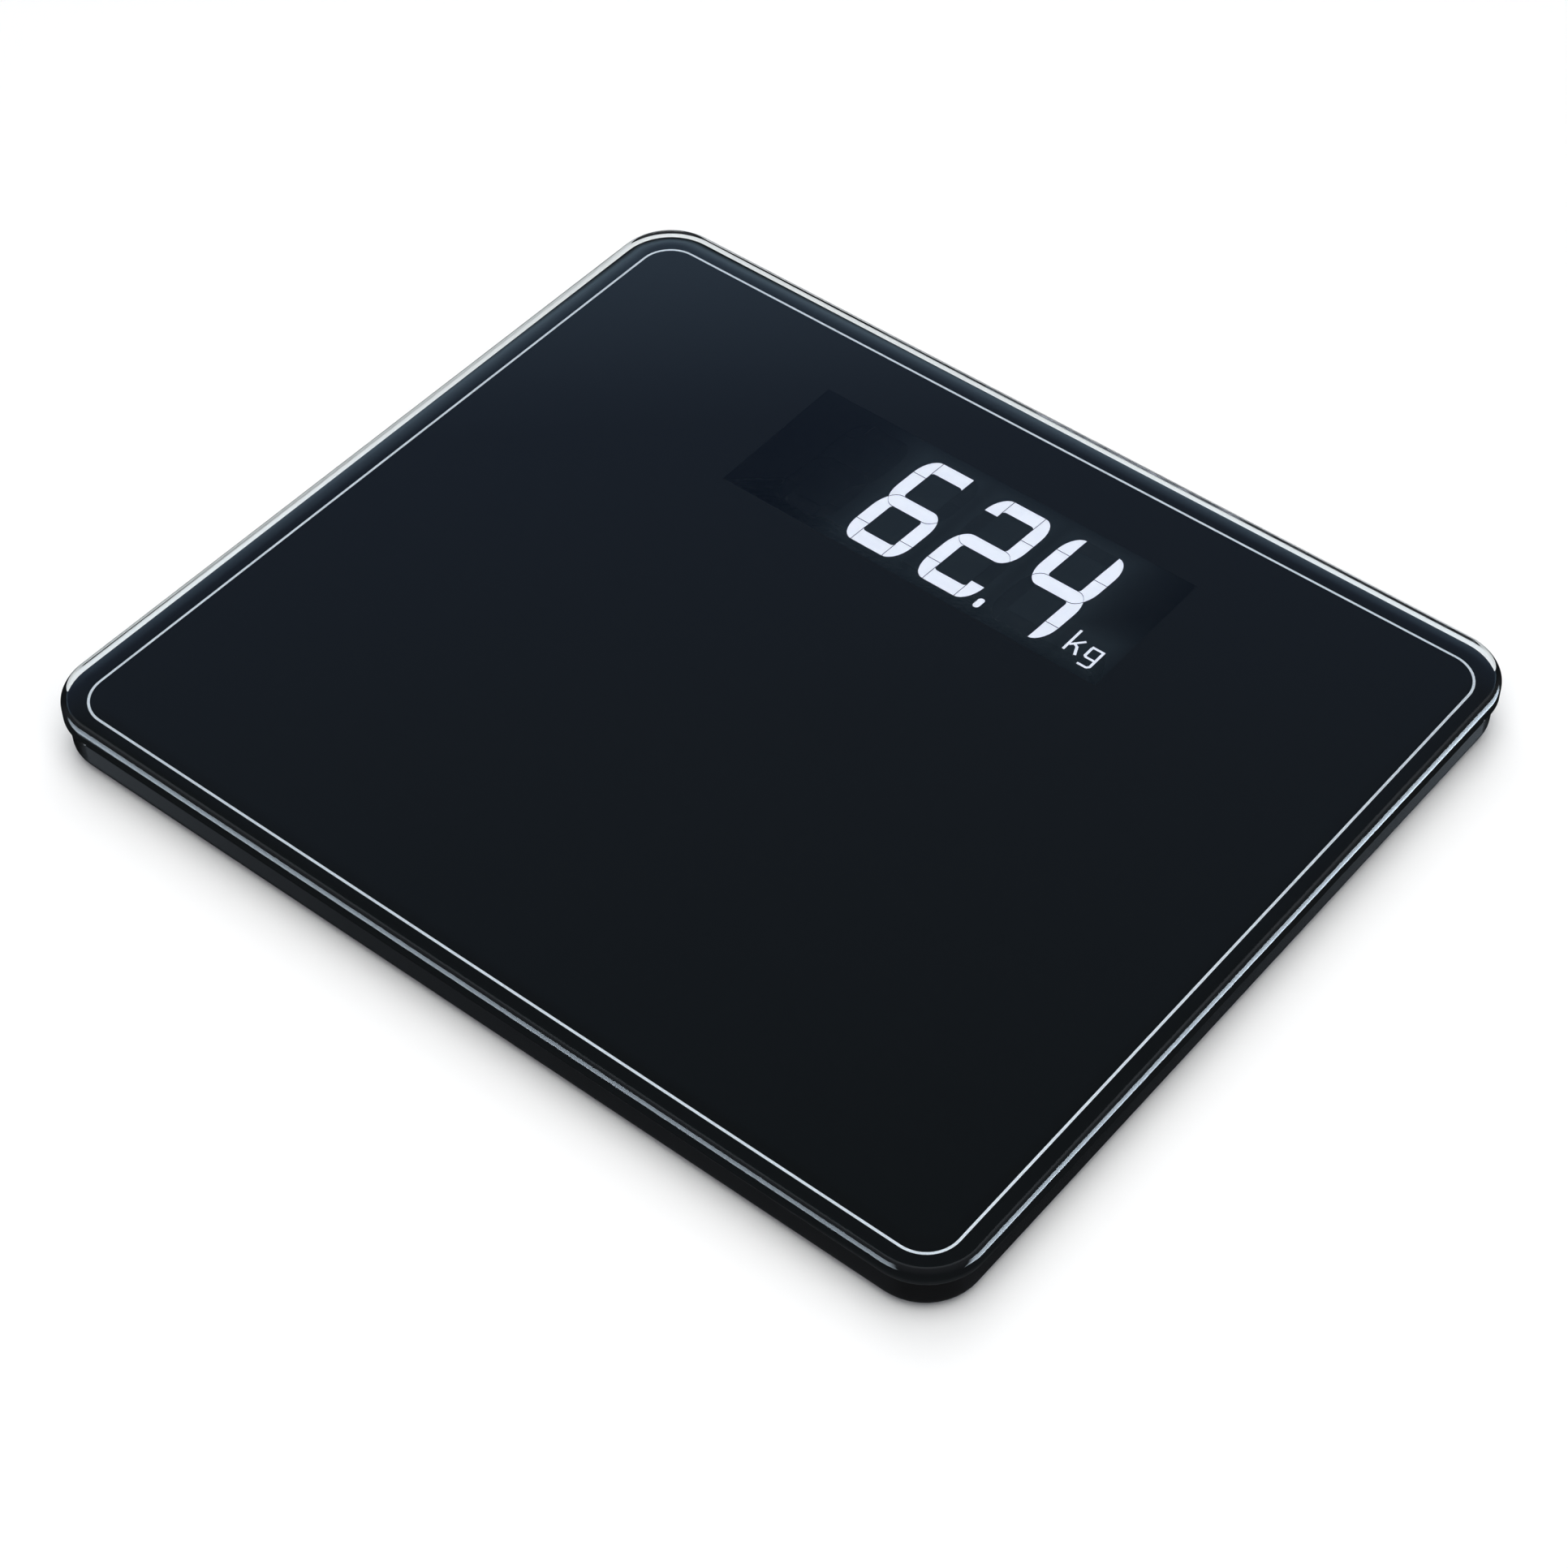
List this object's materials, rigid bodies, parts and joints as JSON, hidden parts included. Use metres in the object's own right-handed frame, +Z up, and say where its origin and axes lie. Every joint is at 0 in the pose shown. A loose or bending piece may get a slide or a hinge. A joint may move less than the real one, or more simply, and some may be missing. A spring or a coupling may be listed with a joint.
{
  "type": "digital bathroom scale",
  "caption": "Slim rectangular glass-topped body scale: printed glass platform with a lit digital display, shallow black base, load-cell feet and a hinged battery door underneath.",
  "frame": {"origin": "on the standing surface, under the centre of the platform", "axes": "+X to the right as a user reads the display, +Y to the back where the display is, +Z up"},
  "size_m": [0.35, 0.3, 0.023],
  "materials": {
    "clear_glass": "polished float glass with rounded, polished edges",
    "black_print": "deep blue-black enamel print on the underside of the glass",
    "silver_print": "silver metallic ink line",
    "smoked_print": "dark smoked window print that light shines through",
    "foam_tape": "double-sided foam tape",
    "black_plastic": "moulded ABS with a fine spark texture",
    "battery_wrap": "printed plastic wrap on a steel can, no marks",
    "contact_metal": "nickel-plated spring steel",
    "grey_plastic": "smooth moulded plastic",
    "switch_plastic": "moulded switch body",
    "plunger_plastic": "moulded switch plunger",
    "mask_film": "printed black film",
    "white_reflector": "white moulded light guide",
    "lit_bar": "milky diffuser lit from below, cool white",
    "unlit_bar": "milky diffuser, not lit",
    "circuit_board": "glass-fibre board with green solder mask",
    "chip_black": "moulded epoxy package",
    "component_tan": "ceramic and metal-film chips",
    "led_yellow": "phosphor-filled LED package",
    "socket_ivory": "moulded nylon socket",
    "screw_steel": "zinc-plated steel",
    "ribbon_white": "flat flexible cable",
    "wire_red": "soft insulated wire",
    "foot_plastic": "moulded nylon with a fine texture",
    "foot_rubber": "non-slip rubber",
    "cell_steel": "stamped alloy-steel plate",
    "seat_plastic": "moulded glass-filled plastic",
    "gauge_foil": "foil strain gauge under a clear coat"
  },
  "bodies": {
    "scale": {"glass_platform": "clear_glass", "back_print": "black_print", "silver_pinline": "silver_print", "display_window": "smoked_print", "bonding_tape": "foam_tape", "base_tray": "black_plastic", "battery_front": "battery_wrap", "battery_middle": "battery_wrap", "battery_back": "battery_wrap", "negative_contact": "contact_metal", "positive_contact": "contact_metal", "left_bridge_contact": "contact_metal", "right_bridge_contact": "contact_metal", "unit_switch": "switch_plastic", "display_frame": "black_plastic", "segment_mask": "mask_film", "light_reflector": "white_reflector", "hundreds_digit": "unlit_bar", "tens_digit": "lit_bar", "units_digit": "lit_bar", "tenths_digit": "lit_bar", "decimal_point": "lit_bar", "kilogram_sign": "lit_bar", "idle_segments": "unlit_bar", "display_board": "circuit_board", "display_leds": "led_yellow", "display_screws": "screw_steel", "main_board": "circuit_board", "processor": "chip_black", "board_parts": "component_tan", "sensor_sockets": "socket_ivory", "display_ribbon": "ribbon_white", "board_screws": "screw_steel", "battery_leads": "wire_red", "sensor_leads_fl": "wire_red", "sensor_leads_fr": "wire_red", "sensor_leads_bl": "wire_red", "sensor_leads_br": "wire_red", "load_cell_fl": "cell_steel", "load_cell_fr": "cell_steel", "load_cell_bl": "cell_steel", "load_cell_br": "cell_steel", "load_cell_seat_fl": "seat_plastic", "load_cell_seat_fr": "seat_plastic", "load_cell_seat_bl": "seat_plastic", "load_cell_seat_br": "seat_plastic", "strain_gauges": "gauge_foil"},
    "battery_door": {"battery_door": "black_plastic"},
    "unit_button": {"unit_button": "grey_plastic", "unit_switch_plunger": "plunger_plastic"},
    "foot_fl": {"foot_fl": "foot_plastic", "foot_pad_fl": "foot_rubber"},
    "foot_fr": {"foot_fr": "foot_plastic", "foot_pad_fr": "foot_rubber"},
    "foot_bl": {"foot_bl": "foot_plastic", "foot_pad_bl": "foot_rubber"},
    "foot_br": {"foot_br": "foot_plastic", "foot_pad_br": "foot_rubber"}
  },
  "joints": [
    {"name": "foot_fl_press", "type": "slide", "parent": "scale", "child": "foot_fl", "axis": [0, 0, 1], "range_m": [0, 0.0006], "stiffness_N_per_m": 3000, "springref_m": -0.004, "deforming": ["load_cell_fl"]},
    {"name": "foot_fr_press", "type": "slide", "parent": "scale", "child": "foot_fr", "axis": [0, 0, 1], "range_m": [0, 0.0006], "stiffness_N_per_m": 3000, "springref_m": -0.004, "deforming": ["load_cell_fr"]},
    {"name": "foot_bl_press", "type": "slide", "parent": "scale", "child": "foot_bl", "axis": [0, 0, 1], "range_m": [0, 0.0006], "stiffness_N_per_m": 3000, "springref_m": -0.004, "deforming": ["load_cell_bl"]},
    {"name": "foot_br_press", "type": "slide", "parent": "scale", "child": "foot_br", "axis": [0, 0, 1], "range_m": [0, 0.0006], "stiffness_N_per_m": 3000, "springref_m": -0.004, "deforming": ["load_cell_br"]},
    {"name": "unit_button_press", "type": "slide", "parent": "scale", "child": "unit_button", "axis": [0, 0, 1], "range_m": [0, 0.0005], "stiffness_N_per_m": 3000},
    {"name": "battery_door_hinge", "type": "hinge", "parent": "scale", "child": "battery_door", "pos_m": [0, -0.0097, 0.0025], "axis": [1, 0, 0], "range_deg": [0, 75]}
  ]
}
